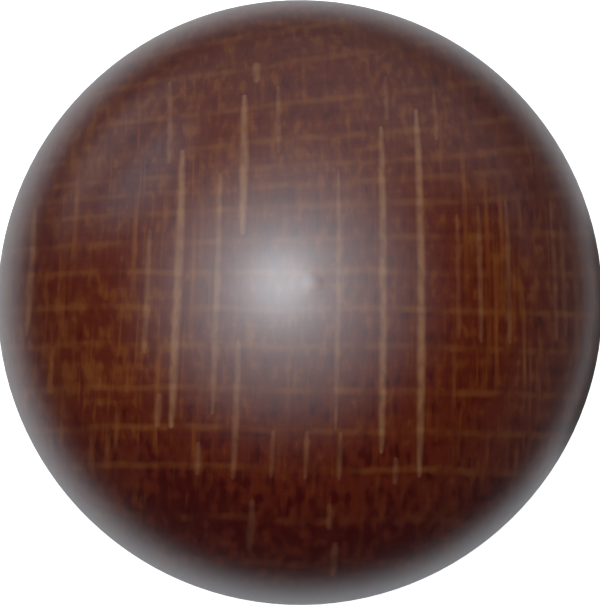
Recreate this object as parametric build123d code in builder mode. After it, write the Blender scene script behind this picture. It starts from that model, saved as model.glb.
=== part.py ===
"""A turned hardwood ball knob with a threaded sleeve pressed into its foot.

Frame: millimetres, +Z along the turning axis and out through the ball, origin at
the centre of the flat foot, which seats on a drawer front or a desk lid.

Pieces
  knob_body        one turning: ball, neck and foot, and the pocket bored in the foot
  threaded_sleeve  brass press-in sleeve with barbs, bored for an M4 machine screw
"""

import os
from math import radians, sqrt, tan

from build123d import *

# ---- Driving dimensions: the turned body -------------------------------------
ball_diameter = 30.0
foot_diameter = 15.0
neck_height = 2.8  # from the foot's face to where the neck runs into the ball
neck_fillet = 2.4  # cove between the neck and the ball
foot_chamfer = 0.4  # broken edge, so that the foot doesn't splinter
pole_nib_diameter = 1.0  # trace of the nib where the ball was parted from the bar
pole_nib_rise = 0.022  # what sanding left of it
pole_nib_softening = 1.5  # and the radius that it rounded the nib's edge to

# ---- Driving dimensions: the threaded sleeve ---------------------------------
thread_diameter = 4.0  # M4
thread_pitch = 0.7
thread_lead_in = 0.45  # countersink at each end of the thread
sleeve_length = 9.0
sleeve_diameter = 6.0  # between the barbs
sleeve_recess = 0.3  # how far the sleeve sits inside the foot's face
barb_rise = 0.45  # how far a barb stands out of the sleeve
barb_land = 0.2  # the narrow band on top of a barb
barb_pitch = 1.4
collar_rise = 0.6  # how far the plain band at the mouth stands out of the sleeve
collar_length = 1.2

# ---- Driving dimensions: the hole behind the sleeve --------------------------
screw_clearance = 0.5  # room round the end of a long screw
run_out_depth = 4.5
drill_point_angle = 118.0

# ---- Worked out from the values above ----------------------------------------
ball_radius = ball_diameter / 2
foot_radius = foot_diameter / 2
ball_centre_height = neck_height + sqrt(ball_radius**2 - foot_radius**2)
ball_top = ball_centre_height + ball_radius

nib_radius = pole_nib_diameter / 2
nib_edge_height = ball_centre_height + sqrt(ball_radius**2 - nib_radius**2)
nib_top = ball_top + pole_nib_rise

iso_thread_height_ratio = 0.54127  # depth of a nut's thread as a share of its pitch
thread_bore_radius = thread_diameter / 2 - iso_thread_height_ratio * thread_pitch

sleeve_radius = sleeve_diameter / 2
barb_radius = sleeve_radius + barb_rise
collar_radius = sleeve_radius + collar_rise
collar_end = sleeve_recess + collar_length
sleeve_end = sleeve_recess + sleeve_length
barb_count = int((sleeve_length - collar_length) / barb_pitch)
first_barb = collar_end + (sleeve_length - collar_length - barb_count * barb_pitch) / 2

run_out_radius = thread_diameter / 2 + screw_clearance
run_out_end = sleeve_end + run_out_depth
drill_point_depth = run_out_radius / tan(radians(drill_point_angle / 2))


def sleeve_outline():
    """Outside of the sleeve from its mouth to its inner end, as (radius, height) points.

    A barb is square on the side towards the mouth and tapers the other way, so the sleeve
    presses in but won't pull out.
    """
    points = [(collar_radius, sleeve_recess), (collar_radius, collar_end)]
    points.append((sleeve_radius, collar_end))
    for number in range(barb_count):
        mouth_side = first_barb + number * barb_pitch
        points.append((sleeve_radius, mouth_side))
        points.append((barb_radius, mouth_side))
        points.append((barb_radius, mouth_side + barb_land))
        points.append((sleeve_radius, mouth_side + barb_pitch - barb_land))
    points.append((sleeve_radius, sleeve_end))
    return points


# ---- The turned body -----------------------------------------------------------
with BuildPart() as knob_body:
    with BuildSketch(Plane.XZ) as turning_profile:
        with BuildLine():
            Polyline((0, nib_top), (0, 0), (foot_radius, 0), (foot_radius, neck_height))
            ThreePointArc(
                (foot_radius, neck_height),
                (ball_radius, ball_centre_height),
                (nib_radius, nib_edge_height),
            )
            # The nib at the pole, sanded down to a low swelling, level at its middle.
            TangentArc((0, nib_top), (nib_radius, nib_edge_height), tangent=(1, 0))
        make_face()
        fillet(vertices().group_by(Axis.Y)[-2], radius=pole_nib_softening)
        foot_corners = vertices().group_by(Axis.X)[-1].sort_by(Axis.Y)
        fillet(foot_corners[1], radius=neck_fillet)
        chamfer(vertices().group_by(Axis.Y)[0].sort_by(Axis.X)[-1], length=foot_chamfer)
    revolve(axis=Axis.Z)

    # The pocket: the mouth, the wood pressed round the barbs, then the blind hole.
    with BuildSketch(Plane.XZ) as pocket_profile:
        with BuildLine():
            Polyline(
                (0, 0),
                (collar_radius, 0),
                *sleeve_outline(),
                (run_out_radius, sleeve_end),
                (run_out_radius, run_out_end),
                (0, run_out_end + drill_point_depth),
                close=True,
            )
        make_face()
    revolve(axis=Axis.Z, mode=Mode.SUBTRACT)

# ---- The threaded sleeve ---------------------------------------------------------
with BuildPart() as threaded_sleeve:
    with BuildSketch(Plane.XZ) as sleeve_profile:
        with BuildLine():
            Polyline(
                (thread_bore_radius + thread_lead_in, sleeve_recess),
                *sleeve_outline(),
                (thread_bore_radius + thread_lead_in, sleeve_end),
                (thread_bore_radius, sleeve_end - thread_lead_in),
                (thread_bore_radius, sleeve_recess + thread_lead_in),
                close=True,
            )
        make_face()
    revolve(axis=Axis.Z)

# ---- Export ------------------------------------------------------------------------
knob_body.part.label = "knob_body"
threaded_sleeve.part.label = "threaded_sleeve"
os.makedirs("parts", exist_ok=True)
for piece in (knob_body, threaded_sleeve):
    export_step(piece.part, f"parts/{piece.part.label}.step")
    print(piece.part.label, "volume", round(piece.part.volume, 1), piece.part.bounding_box().size)
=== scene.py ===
# %% [markdown]
# # A stained beech ball knob
#
# The knob is one turning of beech with a brass threaded sleeve pressed into its foot. The construction
# is loaded first and never moved. Everything after that is finish: the figure of the timber, the stain,
# the satin lacquer, the cut thread in the sleeve, and a small studio to look at them in.

# %% Load the construction
import math

import bmesh
import bpy
from mathutils import Matrix, Vector


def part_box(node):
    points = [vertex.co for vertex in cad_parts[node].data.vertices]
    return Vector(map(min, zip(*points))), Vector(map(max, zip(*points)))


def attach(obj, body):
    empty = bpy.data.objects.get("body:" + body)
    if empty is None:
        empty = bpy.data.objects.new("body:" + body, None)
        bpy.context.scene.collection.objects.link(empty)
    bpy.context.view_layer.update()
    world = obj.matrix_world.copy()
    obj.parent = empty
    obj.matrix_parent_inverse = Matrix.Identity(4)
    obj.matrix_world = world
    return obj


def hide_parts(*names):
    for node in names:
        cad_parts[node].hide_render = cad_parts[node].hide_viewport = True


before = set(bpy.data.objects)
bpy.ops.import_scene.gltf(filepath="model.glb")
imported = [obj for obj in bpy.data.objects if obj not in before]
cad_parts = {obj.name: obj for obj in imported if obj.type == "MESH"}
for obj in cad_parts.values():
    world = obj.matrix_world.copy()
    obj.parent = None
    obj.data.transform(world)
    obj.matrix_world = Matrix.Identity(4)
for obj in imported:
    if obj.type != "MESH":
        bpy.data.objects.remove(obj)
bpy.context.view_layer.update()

MM = 0.001
knob_low, knob_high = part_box("knob_body")
sleeve_low, sleeve_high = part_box("threaded_sleeve")
ball_radius = (knob_high.x - knob_low.x) / 2
nib_rise = 0.022 * MM
ball_centre = Vector((0.0, 0.0, knob_high.z - nib_rise - ball_radius))
print("ball radius", round(ball_radius / MM, 2), "mm, centre", round(ball_centre.z / MM, 2), "mm up")

# %% [markdown]
# ## The camera
#
# A knob is looked at from the front, which is straight down its turning axis. A long lens a good way off
# keeps the ball from bulging. The camera leans a few degrees off the axis, so the faint nib at the pole
# sits above and to the right of the middle.

# %% Place the camera
camera_distance = 0.6
lean_left = 0.043
lean_down = 0.067
camera_side = Vector((-lean_left, -lean_down, 1.0)).normalized()

lens_block = bpy.data.cameras.new("camera")
camera = bpy.data.objects.new("camera", lens_block)
bpy.context.scene.collection.objects.link(camera)
camera_right = Vector((0.0, 1.0, 0.0)).cross(camera_side).normalized()
camera_up = camera_side.cross(camera_right)
camera_turn = Matrix((camera_right, camera_up, camera_side)).transposed().to_4x4()
camera.matrix_world = Matrix.Translation(ball_centre + camera_side * camera_distance) @ camera_turn

# The ball's outline touches both sides of the frame.
outline_slope = math.tan(math.asin(ball_radius / camera_distance))
lens_block.sensor_width = 36.0
lens_block.lens = lens_block.sensor_width / 2 / outline_slope
lens_block.clip_start = 0.01
bpy.context.scene.camera = camera
bpy.context.scene.view_settings.view_transform = "Standard"
print("lens", round(lens_block.lens), "mm")

# %% [markdown]
# ## Building shader nodes
#
# A material is a small program. Helpers keep it short: they place a node and feed its sockets, do one sum,
# blend two colours, or open a node group, which is a named effect with its own inputs and outputs.

# %% Helpers for nodes
def place(tree, kind, feeds=None, **settings):
    """Adds a node, sets its settings, and feeds each named or numbered input a link or a plain value."""
    node = tree.nodes.new(kind)
    for setting, value in settings.items():
        setattr(node, setting, value)
    for socket, value in (feeds or {}).items():
        if isinstance(value, bpy.types.NodeSocket):
            tree.links.new(value, node.inputs[socket])
        else:
            node.inputs[socket].default_value = value
    return node


def work_out(tree, operation, *values):
    """One sum, such as ADD or MULTIPLY, and its answer."""
    feeds = dict(enumerate(values))
    return place(tree, "ShaderNodeMath", feeds, operation=operation).outputs[0]


def work_out_vector(tree, operation, *values):
    """The same for vectors. The answer is a vector, or a number for LENGTH, DISTANCE or DOT_PRODUCT."""
    node = place(tree, "ShaderNodeVectorMath", dict(enumerate(values)), operation=operation)
    is_number = operation in ("LENGTH", "DISTANCE", "DOT_PRODUCT")
    return node.outputs["Value" if is_number else "Vector"]


def join(tree, x=0.0, y=0.0, z=0.0):
    """One vector from three numbers."""
    return place(tree, "ShaderNodeCombineXYZ", {"X": x, "Y": y, "Z": z}).outputs[0]


def noise(tree, where, scale, detail, **other_feeds):
    """Cloudy noise, from 0 to 1 with most of it near 0.5."""
    feeds = {"Vector": where, "Scale": scale, "Detail": detail, **other_feeds}
    return place(tree, "ShaderNodeTexNoise", feeds).outputs["Fac"]


def fade(tree, value, start, end, from_value=0.0, to_value=1.0):
    """A soft step: from_value before start, to_value after end, and a smooth curve between."""
    feeds = {"Value": value, "From Min": start, "From Max": end, "To Min": from_value, "To Max": to_value}
    return place(tree, "ShaderNodeMapRange", feeds, interpolation_type="SMOOTHSTEP").outputs["Result"]


def mix_colours(tree, amount, first, second):
    """Blends from the first colour to the second by amount."""
    node = place(tree, "ShaderNodeMix", {"Factor": amount}, data_type="RGBA")
    colour_inputs = [socket for socket in node.inputs if socket.type == "RGBA"]
    for socket, value in zip(colour_inputs, (first, second)):
        if isinstance(value, bpy.types.NodeSocket):
            tree.links.new(value, socket)
        else:
            socket.default_value = value
    return [socket for socket in node.outputs if socket.type == "RGBA"][0]


def open_group(name, takes, gives):
    """Starts a node group. Returns its tree, its inputs by name and its output node."""
    tree = bpy.data.node_groups.new(name, "ShaderNodeTree")
    for label, start_value in takes.items():
        kind = "NodeSocketVector" if start_value is None else "NodeSocketFloat"
        socket = tree.interface.new_socket(name=label, in_out="INPUT", socket_type=kind)
        if start_value is not None:
            socket.default_value = start_value
    for label in gives:
        tree.interface.new_socket(name=label, in_out="OUTPUT", socket_type="NodeSocketFloat")
    inside = tree.nodes.new("NodeGroupInput").outputs
    outside = tree.nodes.new("NodeGroupOutput")
    return tree, inside, outside


def give(tree, outside, **answers):
    """Joins a group's answers to its outputs. Underscores in a name stand for spaces."""
    for label, answer in answers.items():
        tree.links.new(answer, outside.inputs[label.replace("_", " ")])
    print("group", tree.name, "has", len(tree.nodes), "nodes")


def use_group(tree, name, feeds):
    """Places a node group in a tree, feeds it, and returns its outputs."""
    return place(tree, "ShaderNodeGroup", feeds, node_tree=bpy.data.node_groups[name]).outputs


def position_in_mm(tree):
    """Where the surface is in the knob's own frame, in millimetres."""
    coordinates = tree.nodes.new("ShaderNodeTexCoord")
    feeds = {0: coordinates.outputs["Object"], "Scale": 1 / MM}
    return place(tree, "ShaderNodeVectorMath", feeds, operation="SCALE").outputs[0]


# %% [markdown]
# ## How timber is laid out
#
# Timber has three directions: along the grain, outwards from the pith, and round the growth rings. The
# knob was turned with its axis along the grain, so its face is end grain, and the pith of the tree lay far
# beyond the top of the knob. This group turns a place on the knob into those three directions. Everything
# drawn later runs the way a tree grows, on the sides and the back as well as on the face.

# %% Node group: timber directions
ring_climb = 0.016
ring_wander = 3.0


def make_timber_directions():
    takes = {"Position": None, "Pith across": 0.0, "Pith distance": 250.0, "Wander": 0.2}
    tree, inside, outside = open_group("Timber directions", takes, ("Across", "Outward", "Along"))
    parts = place(tree, "ShaderNodeSeparateXYZ", {0: inside["Position"]}).outputs

    # The grain wanders in long slow swings, longest along the grain.
    noise_place = work_out_vector(tree, "MULTIPLY", inside["Position"], (1.0, 0.5, 0.35))
    wander = place(tree, "ShaderNodeTexNoise", {"Vector": noise_place, "Scale": 0.16, "Detail": 2.0})
    swings = place(tree, "ShaderNodeSeparateColor", {0: wander.outputs["Color"]}).outputs
    swing_across = work_out(tree, "MULTIPLY", work_out(tree, "SUBTRACT", swings[0], 0.5), inside["Wander"])
    swing_out = work_out(tree, "MULTIPLY", work_out(tree, "SUBTRACT", swings[1], 0.5), inside["Wander"])

    from_pith = work_out(tree, "SUBTRACT", parts["X"], inside["Pith across"])
    to_pith = work_out(tree, "SUBTRACT", inside["Pith distance"], parts["Y"])
    fan = work_out(tree, "DIVIDE", inside["Pith distance"], to_pith)
    across = work_out(tree, "MULTIPLY_ADD", from_pith, fan, inside["Pith across"])
    across = work_out(tree, "ADD", across, swing_across)

    square = work_out(tree, "MULTIPLY", from_pith, from_pith)
    reach = work_out(tree, "SQRT", work_out(tree, "MULTIPLY_ADD", to_pith, to_pith, square))
    outward = work_out(tree, "SUBTRACT", inside["Pith distance"], reach)
    # The tree grew faster on one side, so the rings on the pith's side climb to the right.
    climb = work_out(tree, "MULTIPLY", work_out(tree, "MAXIMUM", parts["Y"], 0.0), -ring_climb)
    outward = work_out(tree, "MULTIPLY_ADD", parts["X"], climb, outward)
    outward = work_out(tree, "MULTIPLY_ADD", swing_out, ring_wander, outward)
    give(tree, outside, Across=across, Outward=outward, Along=parts["Z"])


make_timber_directions()

# %% [markdown]
# ## Broad rays
#
# Beech carries broad rays, thin upright ribbons of pale cells that run from the pith to the bark. On end
# grain each shows as a straight pale line. The ball curves away and leaves the ribbon above or below, so
# each line ends in a rounded tip. One group draws one ray, and a loop places it again and again.

# %% Node group: one broad ray
tip_bluntness = 0.2
thinnest_ray = 0.001
line_core = 0.2  # a line is full within this share of its half width
line_edge = 1.8  # and gone beyond this share


def make_broad_ray():
    takes = {
        "Across": 0.0,
        "Outward": 0.0,
        "Place": 0.0,
        "Middle": 0.0,
        "Half length": 5.0,
        "Half width": 0.15,
        "Strength": 1.0,
    }
    tree, inside, outside = open_group("Broad ray", takes, ("Mask",))
    along = work_out(tree, "SUBTRACT", inside["Outward"], inside["Middle"])
    share = work_out(tree, "DIVIDE", along, inside["Half length"])
    left_over = work_out(tree, "SUBTRACT", 1.0, work_out(tree, "MULTIPLY", share, share))
    taper = work_out(tree, "POWER", work_out(tree, "MAXIMUM", left_over, 0.0), tip_bluntness)
    width_here = work_out(tree, "MULTIPLY_ADD", inside["Half width"], taper, thinnest_ray)
    aside = work_out(tree, "ABSOLUTE", work_out(tree, "SUBTRACT", inside["Across"], inside["Place"]))
    ratio = work_out(tree, "DIVIDE", aside, width_here)
    body = fade(tree, ratio, line_core, line_edge, 1.0, 0.0)
    give(tree, outside, Mask=work_out(tree, "MULTIPLY", body, inside["Strength"]))


make_broad_ray()

# %% [markdown]
# ## Growth rings
#
# Each year's growth ends in a thin line. The stain took less in that line, so it shows a little paler. The
# rings were laid down a millimetre or two apart, wide in good years and narrow in poor ones.

# %% Node group: one growth ring
def make_growth_ring():
    takes = {"Outward": 0.0, "Place": 0.0, "Half width": 0.15}
    tree, inside, outside = open_group("Growth ring", takes, ("Mask",))
    aside = work_out(tree, "ABSOLUTE", work_out(tree, "SUBTRACT", inside["Outward"], inside["Place"]))
    ratio = work_out(tree, "DIVIDE", aside, inside["Half width"])
    give(tree, outside, Mask=fade(tree, ratio, line_core, line_edge, 1.0, 0.0))


make_growth_ring()

# %% [markdown]
# ## Season lines
#
# Between two rings lie weaker lines, one for each wet or dry spell of that year. Nobody counts them, so
# noise draws them: it is squeezed to half a millimetre outwards and drawn out long round the tree.

# %% Node group: season lines
def make_season_lines():
    takes = {"Across": 0.0, "Outward": 0.0, "Stretch": 7.0, "Spacing": 0.5, "Strength": 1.0}
    tree, inside, outside = open_group("Season lines", takes, ("Change",))
    stretched = join(
        tree,
        x=work_out(tree, "DIVIDE", inside["Across"], inside["Stretch"]),
        y=work_out(tree, "DIVIDE", inside["Outward"], inside["Spacing"]),
    )
    centred = work_out(tree, "SUBTRACT", noise(tree, stretched, 1.0, 2.0), 0.5)
    give(tree, outside, Change=work_out(tree, "MULTIPLY", centred, inside["Strength"]))


make_season_lines()

# %% [markdown]
# ## Fine rays and pores
#
# Between the broad rays lie thousands of fine ones, and the pores through which the tree drew its water.
# They are too many to place one by one. Cell noise scatters the fine rays: each cell is squeezed to a plate
# that is thin across, two millimetres or so tall along the grain, and long towards the pith. On the face
# they are fine lines, and near the ball's flanks the curve cuts them into short dashes.

# %% Node group: fine rays
def make_fine_rays():
    takes = {
        "Across": 0.0,
        "Outward": 0.0,
        "Along": 0.0,
        "Spacing": 0.2,
        "Height": 2.2,
        "Length": 9.0,
        "Share shown": 0.3,
        "Reach": 0.5,
    }
    tree, inside, outside = open_group("Fine rays", takes, ("Mask",))
    squeezed = join(
        tree,
        x=work_out(tree, "DIVIDE", inside["Across"], inside["Spacing"]),
        y=work_out(tree, "DIVIDE", inside["Outward"], inside["Length"]),
        z=work_out(tree, "DIVIDE", inside["Along"], inside["Height"]),
    )
    cells = place(tree, "ShaderNodeTexVoronoi", {"Vector": squeezed, "Scale": 1.0}, distance="CHEBYCHEV")
    chance = place(tree, "ShaderNodeSeparateColor", {0: cells.outputs["Color"]}).outputs
    threshold = work_out(tree, "SUBTRACT", 1.0, inside["Share shown"])
    shown = fade(tree, chance[0], threshold, 1.0)
    plate = fade(tree, cells.outputs["Distance"], 0.0, inside["Reach"], 1.0, 0.0)
    give(tree, outside, Mask=work_out(tree, "MULTIPLY", plate, shown))


make_fine_rays()

# %% Node group: pores
def make_pores():
    takes = {"Position": None, "Spacing": 0.14, "Length": 3.0}
    tree, inside, outside = open_group("Pores", takes, ("Mask",))
    parts = place(tree, "ShaderNodeSeparateXYZ", {0: inside["Position"]}).outputs
    squeezed = join(
        tree,
        x=work_out(tree, "DIVIDE", parts["X"], inside["Spacing"]),
        y=work_out(tree, "DIVIDE", parts["Y"], inside["Spacing"]),
        z=work_out(tree, "DIVIDE", parts["Z"], inside["Length"]),
    )
    give(tree, outside, Mask=fade(tree, noise(tree, squeezed, 1.0, 2.0), 0.35, 0.7))


make_pores()

# %% [markdown]
# ## Handling marks
#
# Anything that is handled picks up faint smudges and a little dust. Wood and brass both get them, each with
# its own values, so they are a group too.

# %% Node group: handling marks
def make_handling_marks():
    takes = {"Position": None, "Size": 6.0, "Strength": 0.1}
    tree, inside, outside = open_group("Handling marks", takes, ("Roughness change", "Mask"))
    feeds = {0: inside["Position"], "Scale": work_out(tree, "DIVIDE", 1.0, inside["Size"])}
    scaled = place(tree, "ShaderNodeVectorMath", feeds, operation="SCALE").outputs[0]
    smudge = noise(tree, scaled, 1.0, 4.0)
    centred = work_out(tree, "SUBTRACT", smudge, 0.5)
    give(
        tree,
        outside,
        Roughness_change=work_out(tree, "MULTIPLY", centred, inside["Strength"]),
        Mask=fade(tree, smudge, 0.5, 0.75),
    )


make_handling_marks()

# %% [markdown]
# ## The stained wood
#
# The broad rays that show on the face are placed one by one, as a list of millimetres: how far across, and
# where each starts and ends on its way to the pith. The list gives the figure its own character, which
# noise alone never does. The rings are a second list.

# %% Where the broad rays and the rings lie
# across, from, to, half width, strength
broad_rays = (
    (-13.55, -2.6, 4.6, 0.13, 0.55),
    (-7.95, -3.5, 2.8, 0.13, 0.55),
    (-7.15, 6.4, 11.1, 0.12, 0.5),
    (-7.15, -7.1, -5.5, 0.14, 0.55),
    (-6.50, -7.2, 7.1, 0.18, 1.0),
    (-5.20, -9.3, -7.8, 0.13, 0.5),
    (-4.60, -6.5, 5.6, 0.13, 0.6),
    (-3.45, 2.4, 9.8, 0.17, 0.95),
    (-3.50, -9.5, -2.8, 0.14, 0.6),
    (-2.83, 10.4, 11.5, 0.17, 0.8),
    (-2.55, -12.7, -10.4, 0.14, 0.5),
    (-1.75, 6.4, 10.0, 0.12, 0.45),
    (-1.75, -9.3, -7.1, 0.11, 0.45),
    (-0.15, -9.3, -7.1, 0.11, 0.45),
    (1.20, -7.0, 5.4, 0.11, 0.45),
    (1.45, -9.3, -7.1, 0.11, 0.45),
    (1.05, -11.6, -10.4, 0.13, 0.5),
    (1.45, -13.8, -12.2, 0.15, 0.55),
    (3.40, -8.1, 7.4, 0.16, 0.9),
    (3.75, 7.7, 9.8, 0.12, 0.45),
    (4.10, -9.6, -8.3, 0.12, 0.5),
    (5.25, -9.3, 8.1, 0.17, 1.0),
    (6.25, 6.5, 8.8, 0.11, 0.4),
    (7.10, -2.6, 3.1, 0.10, 0.3),
    (8.20, -2.8, 3.4, 0.12, 0.45),
    (9.65, -2.8, 3.6, 0.12, 0.45),
    (12.10, -2.6, 3.5, 0.11, 0.35),
    (12.60, -2.4, 2.7, 0.11, 0.35),
)
ring_places = (
    14.4, 13.0, 11.2, 9.0, 7.1, 5.7, 4.8, 3.7, 2.1,
    0.5, -1.3, -3.1, -5.2, -7.1, -8.9, -11.2, -13.2,
)
ring_half_width = 0.15
pith_across = 3.0
pith_distance = 250.0
print(len(broad_rays), "broad rays and", len(ring_places), "rings")

# %% [markdown]
# ## Drawing the figure
#
# The rings, the broad rays and the fine rays each become one mask: a number at every place that says how
# much of that mark shows there. Masks of the same kind are laid over each other, and the strongest wins.

# %% Masks for rings and broad rays
def strongest(tree, masks):
    """Lays masks over each other: the strongest wins at each place."""
    result = masks[0]
    for mask in masks[1:]:
        result = work_out(tree, "MAXIMUM", result, mask)
    return result


def draw_rings(tree, lay, position):
    """All the growth rings. Each shows only in patches, and less low on the face."""
    masks = []
    for ring in ring_places:
        feeds = {"Outward": lay["Outward"], "Place": ring, "Half width": ring_half_width}
        masks.append(use_group(tree, "Growth ring", feeds)[0])
    rings = strongest(tree, masks)
    patches = fade(tree, noise(tree, position, 0.7, 2.0), 0.40, 0.62, 0.22, 1.0)
    rings = work_out(tree, "MULTIPLY", rings, patches)
    return work_out(tree, "MULTIPLY", rings, fade(tree, lay["Outward"], -12.0, -9.0, 0.35, 1.0))


def draw_broad_rays(tree, lay, rings, mottle):
    """All the broad rays, on the front half only. The sides and the back have the fine rays."""
    masks = []
    for across, start, end, half_width, strength in broad_rays:
        feeds = {
            "Across": lay["Across"],
            "Outward": lay["Outward"],
            "Place": across,
            "Middle": (start + end) / 2,
            "Half length": (end - start) / 2,
            "Half width": half_width,
            "Strength": strength,
        }
        masks.append(use_group(tree, "Broad ray", feeds)[0])
    rays = strongest(tree, masks)
    equator = ball_centre.z / MM
    rays = work_out(tree, "MULTIPLY", rays, fade(tree, lay["Along"], equator, equator + 2.0))
    # The stain takes unevenly on the rays too, and least where a ring crosses one.
    beads = fade(tree, mottle, 0.35, 0.65, 0.58, 0.92)
    beads = work_out(tree, "MULTIPLY_ADD", rings, 0.4, beads)
    rays = work_out(tree, "MULTIPLY", rays, beads)
    return work_out(tree, "MULTIPLY", rays, fade(tree, lay["Outward"], -12.0, -6.0, 0.55, 1.0))


# %% Masks for the fine rays
flank_middle = 1.0  # millimetres across, where the fewest fine rays show


def draw_fine_rays(tree, lay):
    """Two sizes of fine ray: the medium ones and the finest."""
    directions = {name: lay[name] for name in ("Across", "Outward", "Along")}
    medium_size = {"Spacing": 0.36, "Height": 2.3, "Length": 12.0, "Share shown": 0.55}
    fine_size = {"Spacing": 0.16, "Height": 1.5, "Length": 5.0, "Share shown": 0.6}
    medium = use_group(tree, "Fine rays", {**directions, **medium_size})[0]
    fine = use_group(tree, "Fine rays", {**directions, **fine_size})[0]

    # On the flanks the turning cuts the rays nearly along their faces, so more of each shows.
    flank = work_out(tree, "ABSOLUTE", work_out(tree, "SUBTRACT", lay["Across"], flank_middle))
    flank = fade(tree, flank, 4.0, 9.0, 0.55, 1.25)
    flank = work_out(tree, "MULTIPLY", flank, fade(tree, lay["Outward"], -13.0, -6.0, 0.35, 0.9))
    return work_out(tree, "MULTIPLY", medium, flank), work_out(tree, "MULTIPLY", fine, flank)


# %% [markdown]
# ## The stain
#
# A wood stain is a dye. Where it bites deep the wood goes nearly black-red, and where it takes less the
# wood is lighter and more orange, because a dye swallows green and blue faster than red. So the ground
# runs through three colours and not two. Three things decide how much it took: a streaky mottle of a few
# tenths of a millimetre, broad blotches and the season lines. On top of them, painted shade makes the
# ground darker towards the bottom of the face.

# %% Stain colours and the ground
deep_stain = (0.049, 0.0006, 0.0001, 1.0)
middle_stain = (0.091, 0.0078, 0.0006, 1.0)
light_stain = (0.146, 0.0295, 0.0030, 1.0)
ray_colour = (0.215, 0.082, 0.034, 1.0)
dash_colour = (0.215, 0.057, 0.008, 1.0)
ring_colour = (0.175, 0.048, 0.007, 1.0)
pore_colour = (0.020, 0.0020, 0.0006, 1.0)
mottle_weight = 2.1
deep_up_to = 0.84
middle_at = 1.56
light_from = 2.34


def draw_mottle(tree, position):
    """The small streaks, shortest across the rays and longest along the grain."""
    streaked = work_out_vector(tree, "MULTIPLY", position, (1.0, 0.45, 0.35))
    return noise(tree, streaked, 2.5, 1.2, Roughness=0.5)


def stain_ground_with_painted_shade(tree, lay, position, mottle):
    """The stained wood between the rays and rings, with painted shade that darkens it towards the bottom of
    the face.
    """
    blotches = noise(tree, position, 0.14, 3.0)
    stain_and_painted_shade = work_out(tree, "MULTIPLY_ADD", mottle, mottle_weight, blotches)
    seasons = use_group(tree, "Season lines", {"Across": lay["Across"], "Outward": lay["Outward"]})[0]
    stain_and_painted_shade = work_out(tree, "ADD", stain_and_painted_shade, seasons)
    # Painted shade: the ground is made darker towards the bottom of the face.
    stain_and_painted_shade = work_out(tree, "ADD", stain_and_painted_shade, fade(tree, lay["Outward"], -14.0, -3.0, -0.50, 0.12))
    ground = mix_colours(tree, fade(tree, stain_and_painted_shade, deep_up_to, middle_at), deep_stain, middle_stain)
    return mix_colours(tree, fade(tree, stain_and_painted_shade, middle_at, light_from), ground, light_stain)


# %% [markdown]
# ## The stained and lacquered wood
#
# Each mark is mixed over the ground in its own colour, the finest first. The lacquer is a clear coat on
# top, and it does all the shining. It is satin and not glossy, so it shows a broad soft sheen. The surface
# under it is a few thousandths of a millimetre uneven: the pores sink in and the rays stand out.

# %% Material: stained wood
mark_amounts = {"pores": 0.18, "fine": 0.35, "medium": 0.46, "rings": 0.42}
wood_roughness = 0.5
lacquer_roughness = 0.28
lacquer_ior = 1.8
relief_depth = 0.02 * MM


def make_stained_wood():
    material = bpy.data.materials.new("stained_wood_finish")
    material.use_nodes = True
    tree = material.node_tree
    shader = tree.nodes["Principled BSDF"]
    position = position_in_mm(tree)
    pith = {"Pith across": pith_across, "Pith distance": pith_distance}
    lay = use_group(tree, "Timber directions", {"Position": position, "Wander": 0.22, **pith})

    mottle = draw_mottle(tree, position)
    rings = draw_rings(tree, lay, position)
    rays = draw_broad_rays(tree, lay, rings, mottle)
    medium, fine = draw_fine_rays(tree, lay)
    pores = use_group(tree, "Pores", {"Position": position, "Spacing": 0.13, "Length": 2.5})[0]

    colour = stain_ground_with_painted_shade(tree, lay, position, mottle)
    marks_on_ground = (
        ("pores", pores, pore_colour),
        ("fine", fine, dash_colour),
        ("medium", medium, dash_colour),
        ("rings", rings, ring_colour),
    )
    for name, mask, mark_colour in marks_on_ground:
        amount = work_out(tree, "MULTIPLY", mask, mark_amounts[name])
        colour = mix_colours(tree, amount, colour, mark_colour)
    colour = mix_colours(tree, rays, colour, ray_colour)
    tree.links.new(colour, shader.inputs["Base Color"])

    smudges = use_group(tree, "Handling marks", {"Position": position, "Size": 5.0, "Strength": 0.12})
    roughness = work_out(tree, "ADD", smudges["Roughness change"], wood_roughness)
    tree.links.new(roughness, shader.inputs["Roughness"])
    shader.inputs["Specular IOR Level"].default_value = 0.0
    shader.inputs["Coat Weight"].default_value = 1.0
    shader.inputs["Coat Roughness"].default_value = lacquer_roughness
    shader.inputs["Coat IOR"].default_value = lacquer_ior

    relief = work_out(tree, "MULTIPLY_ADD", rays, 0.5, work_out(tree, "MULTIPLY", pores, -0.8))
    relief = work_out(tree, "MULTIPLY_ADD", mottle, 2.5, relief)
    bump = place(tree, "ShaderNodeBump", {"Height": relief, "Strength": 0.25, "Distance": relief_depth})
    tree.links.new(bump.outputs[0], shader.inputs["Normal"])
    print("stained wood:", len(tree.nodes), "nodes")
    return material


stained_wood = make_stained_wood()
knob_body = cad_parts["knob_body"]
knob_body.data.materials.clear()
knob_body.data.materials.append(stained_wood)

# %% [markdown]
# ## The brass sleeve
#
# The construction has the sleeve with a plain bore. The real one has an M4 thread, a helix with a pitch of
# 0.7 mm. A thread is easy to build as a tube whose radius depends on height and angle together: follow it
# once round and it has climbed by one pitch.

# %% Build the sleeve with its thread
thread_pitch = 0.7 * MM
thread_core = 1.621 * MM
thread_depth = 0.379 * MM
thread_lead_in = 0.45 * MM
sleeve_wall = 3.0 * MM
barb_top = 3.45 * MM
barb_land = 0.2 * MM
barb_pitch = 1.4 * MM
barb_count = 5
collar_length = 1.2 * MM
collar_radius = (sleeve_high.x - sleeve_low.x) / 2
crest_share = 0.12  # of half a pitch, left flat at the crest
flank_share = 0.70  # of half a pitch, taken by the slope
turn_steps = 96
rows_per_pitch = 12


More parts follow.
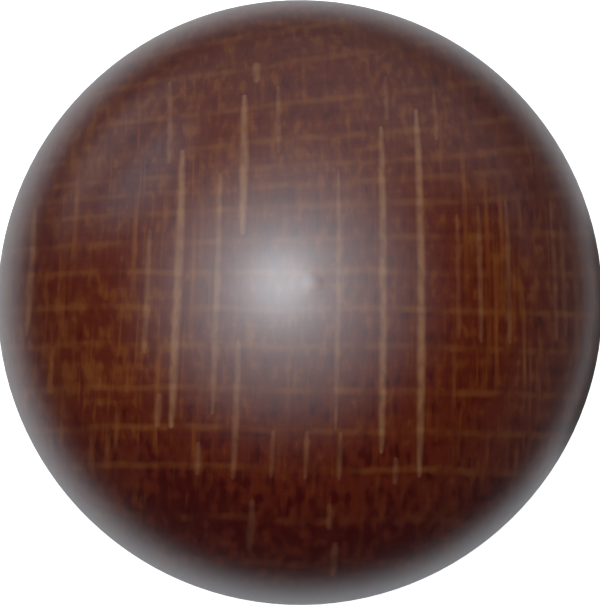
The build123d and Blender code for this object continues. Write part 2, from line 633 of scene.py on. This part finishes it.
def sleeve_outside():
    """The outside from the mouth to the inner end, as (radius, height) pairs."""
    foot, top = sleeve_low.z, sleeve_high.z
    shoulder = foot + collar_length
    first_barb = shoulder + (top - shoulder - barb_count * barb_pitch) / 2
    outline = [(collar_radius, foot), (collar_radius, shoulder), (sleeve_wall, shoulder)]
    for number in range(barb_count):
        start = first_barb + number * barb_pitch
        outline += [(sleeve_wall, start), (barb_top, start), (barb_top, start + barb_land)]
        outline.append((sleeve_wall, start + barb_pitch - barb_land))
    outline.append((sleeve_wall, top))
    return outline


def thread_radius(height, turn):
    """Radius of the thread's surface at a height, after a share of a turn."""
    climbed = (height - sleeve_low.z) / thread_pitch - turn
    wave = abs(climbed - math.floor(climbed) - 0.5) * 2
    share_of_depth = min(max((wave - crest_share) / flank_share, 0.0), 1.0)
    cut = thread_core + thread_depth * share_of_depth
    to_end = min(height - sleeve_low.z, sleeve_high.z - height)
    countersink = thread_core + thread_lead_in - to_end
    return max(cut, countersink)


def build_sleeve():
    mesh = bpy.data.meshes.new("cut_sleeve")
    shape = bmesh.new()
    length = sleeve_high.z - sleeve_low.z
    row_count = round(length / thread_pitch * rows_per_pitch)
    heights = [sleeve_high.z - length * row / row_count for row in range(row_count + 1)]
    loops = []
    for turn_step in range(turn_steps):
        turn = turn_step / turn_steps
        angle = turn * math.tau
        rim = sleeve_outside() + [(thread_radius(height, turn), height) for height in heights]
        loop = []
        for radius, height in rim:
            loop.append(shape.verts.new((radius * math.cos(angle), radius * math.sin(angle), height)))
        loops.append(loop)
    for step, loop in enumerate(loops):
        following = loops[(step + 1) % turn_steps]
        for row in range(len(loop)):
            after = (row + 1) % len(loop)
            shape.faces.new((loop[row], following[row], following[after], loop[after]))
    bmesh.ops.recalc_face_normals(shape, faces=shape.faces)
    shape.to_mesh(mesh)
    shape.free()
    piece = bpy.data.objects.new("cut_sleeve", mesh)
    bpy.context.scene.collection.objects.link(piece)
    for polygon in mesh.polygons:
        polygon.use_smooth = True
    mesh.set_sharp_from_angle(angle=math.radians(25))
    print("sleeve:", len(mesh.polygons), "faces")
    return piece


cut_sleeve = build_sleeve()

# %% Material: brass
bright_brass = (0.78, 0.55, 0.25, 1.0)
dull_brass = (0.50, 0.31, 0.13, 1.0)
brass_roughness = 0.3
tool_mark_depth = 0.01 * MM


def make_brass():
    material = bpy.data.materials.new("brass_finish")
    material.use_nodes = True
    tree = material.node_tree
    shader = tree.nodes["Principled BSDF"]
    position = position_in_mm(tree)
    marks = use_group(tree, "Handling marks", {"Position": position, "Size": 2.0, "Strength": 0.18})
    colour = mix_colours(tree, marks["Mask"], bright_brass, dull_brass)
    tree.links.new(colour, shader.inputs["Base Color"])
    roughness = work_out(tree, "ADD", marks["Roughness change"], brass_roughness)
    tree.links.new(roughness, shader.inputs["Roughness"])
    shader.inputs["Metallic"].default_value = 1.0

    # Tool marks: fine rings left by the lathe, a few hundredths of a millimetre apart.
    tool_marks = noise(tree, work_out_vector(tree, "MULTIPLY", position, (0.4, 0.4, 22.0)), 1.0, 2.0)
    bump_feeds = {"Height": tool_marks, "Strength": 0.3, "Distance": tool_mark_depth}
    bump = place(tree, "ShaderNodeBump", bump_feeds)
    tree.links.new(bump.outputs[0], shader.inputs["Normal"])
    print("brass:", len(tree.nodes), "nodes")
    return material


cut_sleeve.data.materials.append(make_brass())
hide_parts("threaded_sleeve")
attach(cut_sleeve, "root")

# %% [markdown]
# ## The studio floor
#
# The knob stands on a pale floor. The camera sees it plain white. The lacquer mirrors it at the ball's rim,
# where any lacquer turns into a mirror, and there it must not be white all over. So for mirrored rays the
# floor's colour holds painted light and shade: a painted pool of light, grey close round the foot, that
# falls off to nearly black further out. A little more painted light lies on the far side and under the
# window, and a painted shadow darkens the side away from the lamp. All places are millimetres on the floor.

# %% The floor
floor_half_size = 0.8
# Where the painted light and shade on the floor lie.
bright_centre = (-2.0, 0.3, 0.0)
bright_radius = 20.0
dark_radius = 43.0
window_light_place = (-76.0, 62.0, 0.0)
dark_side = (0.998, -0.06, 0.0)
lit_side = (0.8, 0.6, 0.0)
floor_colour = (0.75, 0.75, 0.75, 1.0)
# Colours of the painted light and shade on the floor, seen only in the lacquer's reflections.
painted_light_pool_colour = (0.64, 0.59, 0.58, 1.0)
painted_dark_floor = (0.01, 0.01, 0.01, 1.0)
painted_dark_floor_lit = (0.06, 0.06, 0.06, 1.0)


def draw_painted_floor_light(tree):
    """The floor's colour as the lacquer mirrors it: painted light and shade, mixed by a painted dimness at
    each place.
    """
    position = position_in_mm(tree)
    towards = work_out_vector(tree, "NORMALIZE", position)
    top_side = place(tree, "ShaderNodeSeparateXYZ", {0: position}).outputs["Y"]

    from_bright = work_out_vector(tree, "DISTANCE", position, bright_centre)
    # A painted pool of light round the foot, a little brighter on the far side and under the window.
    painted_dimness = fade(tree, from_bright, bright_radius, dark_radius)
    painted_dimness = work_out(tree, "MULTIPLY", painted_dimness, fade(tree, top_side, 35.0, 80.0, 1.0, 0.66))
    from_window = work_out_vector(tree, "DISTANCE", position, window_light_place)
    painted_dimness = work_out(tree, "MULTIPLY", painted_dimness, fade(tree, from_window, 20.0, 55.0, 0.15, 1.0))

    # A painted shadow of the ball close round the foot, on the side away from the lamp.
    shade = fade(tree, work_out_vector(tree, "DOT_PRODUCT", towards, dark_side), 0.88, 0.975)
    from_axis = work_out_vector(tree, "LENGTH", position)
    shade = work_out(tree, "MULTIPLY", shade, fade(tree, from_axis, 23.0, 30.0, 1.0, 0.30))
    painted_dimness = work_out(tree, "MAXIMUM", painted_dimness, shade)

    # Painted light on the lit side of the far floor.
    lit = fade(tree, work_out_vector(tree, "DOT_PRODUCT", towards, lit_side), 0.0, 0.7)
    far_colour = mix_colours(tree, lit, painted_dark_floor, painted_dark_floor_lit)
    return mix_colours(tree, painted_dimness, painted_light_pool_colour, far_colour)


def make_floor():
    half = floor_half_size
    corners = [(-half, -half, 0), (half, -half, 0), (half, half, 0), (-half, half, 0)]
    mesh = bpy.data.meshes.new("floor")
    mesh.from_pydata(corners, [], [(0, 1, 2, 3)])
    floor = bpy.data.objects.new("floor", mesh)
    bpy.context.scene.collection.objects.link(floor)

    material = bpy.data.materials.new("pale_floor")
    material.use_nodes = True
    tree = material.node_tree
    tree.nodes.clear()
    rays = tree.nodes.new("ShaderNodeLightPath").outputs
    # Glossy rays see the floor with its painted light and shade; the camera sees it plain.
    colour = mix_colours(tree, rays["Is Glossy Ray"], floor_colour, draw_painted_floor_light(tree))
    pale = place(tree, "ShaderNodeBsdfDiffuse", {"Color": colour})
    # A little light of its own keeps the floor pure white to the camera.
    lift = work_out(tree, "MULTIPLY", rays["Is Camera Ray"], 0.75)
    glow = place(tree, "ShaderNodeEmission", {"Strength": lift})
    both = place(tree, "ShaderNodeAddShader", {0: pale.outputs[0], 1: glow.outputs[0]})
    place(tree, "ShaderNodeOutputMaterial", {"Surface": both.outputs[0]})
    mesh.materials.append(material)
    print("floor:", 2 * floor_half_size, "m wide,", len(tree.nodes), "nodes")


make_floor()

# %% [markdown]
# ## The room and the lamp
#
# A soft lamp near the camera, up and to the left, makes the round sheen on the face, and the glow of the
# room round it gives the sheen its long soft edge. There is a broad dim light overhead and a bluish window
# at the upper left. The rest of the room is nearly dark, which lets the stain look deep. Camera rays that
# miss everything see plain white.

# %% The room
# Directions from the knob. The angles of a patch are in degrees.
lamp_side = Vector((-0.166, 0.060, 0.97)).normalized()
glow_spread = 0.37  # radians for the glow to fall to about a third
glow_strength = 7.0
room_light = 0.004
overhead_side = (0.24, 1.0, 0.0)
window_side = (-0.76, 0.62, 0.06)
room_colour = (0.80, 0.93, 1.0, 1.0)
window_colour = (0.50, 0.84, 1.0, 1.0)
white = (1.0, 1.0, 1.0, 1.0)


def room_patch(tree, direction, towards, narrow, wide, strength):
    """A soft bright patch of the room: full within the narrow angle, gone beyond the wide one."""
    axis = Vector(towards).normalized()
    closeness = work_out_vector(tree, "DOT_PRODUCT", direction, axis[:])
    edge, middle = math.cos(math.radians(wide)), math.cos(math.radians(narrow))
    return fade(tree, closeness, edge, middle, 0.0, strength)


def make_room():
    world = bpy.data.worlds.new("room")
    bpy.context.scene.world = world
    world.use_nodes = True
    tree = world.node_tree
    tree.nodes.clear()
    direction = tree.nodes.new("ShaderNodeTexCoord").outputs["Generated"]
    rays = tree.nodes.new("ShaderNodeLightPath").outputs
    overhead = room_patch(tree, direction, overhead_side, 8.0, 58.0, 0.45)
    window = room_patch(tree, direction, window_side, 6.0, 24.0, 1.0)
    angle = work_out(tree, "ARCCOSINE", work_out_vector(tree, "DOT_PRODUCT", direction, lamp_side[:]))
    glow = work_out(tree, "EXPONENT", work_out(tree, "MULTIPLY", angle, -1 / glow_spread))
    glow = work_out(tree, "MULTIPLY", glow, fade(tree, angle, 0.72, 1.22, glow_strength, 0.0))
    dim = work_out(tree, "ADD", overhead, work_out(tree, "ADD", glow, room_light))
    colour = mix_colours(tree, window, room_colour, window_colour)
    strength = work_out(tree, "ADD", dim, window)
    room = place(tree, "ShaderNodeBackground", {"Color": colour, "Strength": strength})
    backdrop = place(tree, "ShaderNodeBackground", {"Color": white, "Strength": 1.0})
    shaders = {0: rays["Is Camera Ray"], 1: room.outputs[0], 2: backdrop.outputs[0]}
    mixed = place(tree, "ShaderNodeMixShader", shaders)
    place(tree, "ShaderNodeOutputWorld", {"Surface": mixed.outputs[0]})
    print("room:", len(tree.nodes), "nodes")


make_room()

# %% The lamp
lamp_distance = 0.5
lamp_width = 0.22
lamp_watts = 0.245
lamp_colour = (0.93, 0.97, 1.0)

lamp_block = bpy.data.lights.new("key_lamp", "AREA")
lamp_block.shape = "DISK"
lamp_block.size = lamp_width
lamp_block.energy = lamp_watts
lamp_block.color = lamp_colour
key_lamp = bpy.data.objects.new("key_lamp", lamp_block)
bpy.context.scene.collection.objects.link(key_lamp)
key_lamp.location = ball_centre + lamp_side * lamp_distance
key_lamp.rotation_euler = lamp_side.to_track_quat("Z", "Y").to_euler()
print("key lamp:", lamp_distance, "m off,", lamp_watts, "W")
